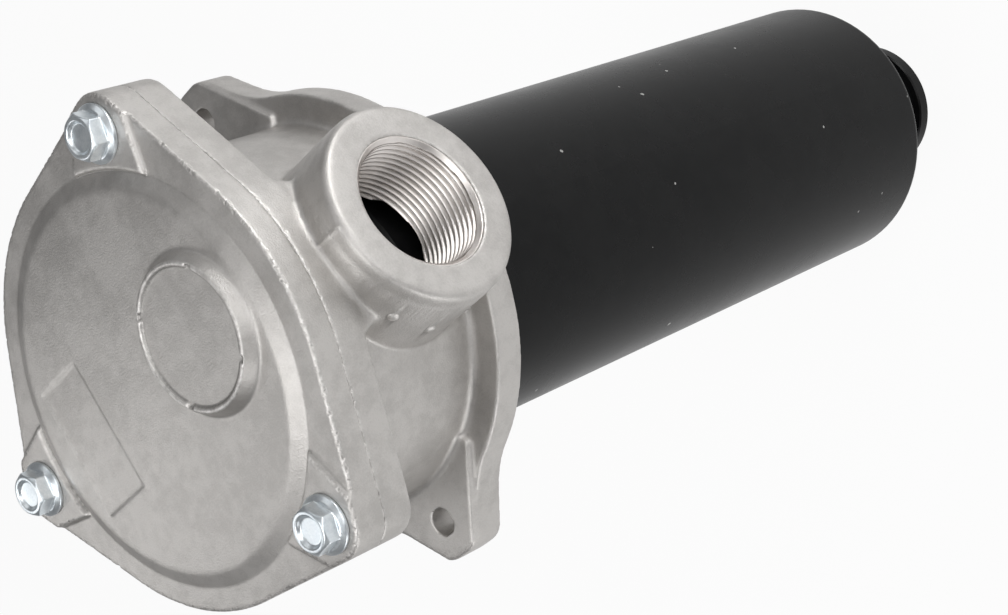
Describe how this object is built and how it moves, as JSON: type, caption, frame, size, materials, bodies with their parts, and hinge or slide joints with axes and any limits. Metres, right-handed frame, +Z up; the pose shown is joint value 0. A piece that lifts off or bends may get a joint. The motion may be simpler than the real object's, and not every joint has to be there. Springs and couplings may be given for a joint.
{
  "type": "hydraulic filter",
  "caption": "Tank-top return line filter: cast head with side inlet port, bolted cover, steel bowl with bottom outlet, pleated element and bypass valve inside.",
  "frame": {"origin": "centre of the tank flange's underside, midway between the two ear holes", "axes": "+Z up along the filter's axis through the cover, -Z down the canister into the tank, +X out of the inlet port, +Y towards one flange ear"},
  "size_m": [0.1713, 0.1746, 0.4161],
  "materials": {
    "cast_head": "die cast, matte, lightly mottled",
    "cast_cover": "die cast, matte, trimmed edge",
    "zinc_bolt": "bright zinc plated",
    "seal_rubber": "matte black",
    "canister_paint": "satin black",
    "spring_steel": "drawn wire",
    "cap_plastic": "moulded black",
    "filter_media": "resin treated paper",
    "core_steel": "plated sheet"
  },
  "bodies": {
    "housing": {"head": "cast_head", "cover": "cast_cover", "cover_bolt_1": "zinc_bolt", "cover_bolt_2": "zinc_bolt", "cover_bolt_3": "zinc_bolt", "cover_seal": "seal_rubber", "tank_seal": "seal_rubber", "canister": "canister_paint", "canister_seal": "seal_rubber", "canister_snap_ring": "spring_steel", "outlet_neck": "canister_paint", "element_top_cap": "cap_plastic", "element_bottom_cap": "cap_plastic", "pleated_media": "filter_media", "support_tube": "core_steel", "element_seal": "seal_rubber", "hold_down_spring": "spring_steel", "bypass_cage": "cap_plastic", "bypass_spring": "spring_steel"},
    "bypass_valve": {"bypass_poppet": "core_steel", "bypass_washer": "seal_rubber"}
  },
  "joints": [
    {"name": "bypass_opening", "type": "slide", "parent": "housing", "child": "bypass_valve", "axis": [0, 0, -1], "range_m": [0, 0.008], "stiffness_N_per_m": 2000, "springref_m": -0.03, "deforming": ["bypass_spring"]}
  ]
}
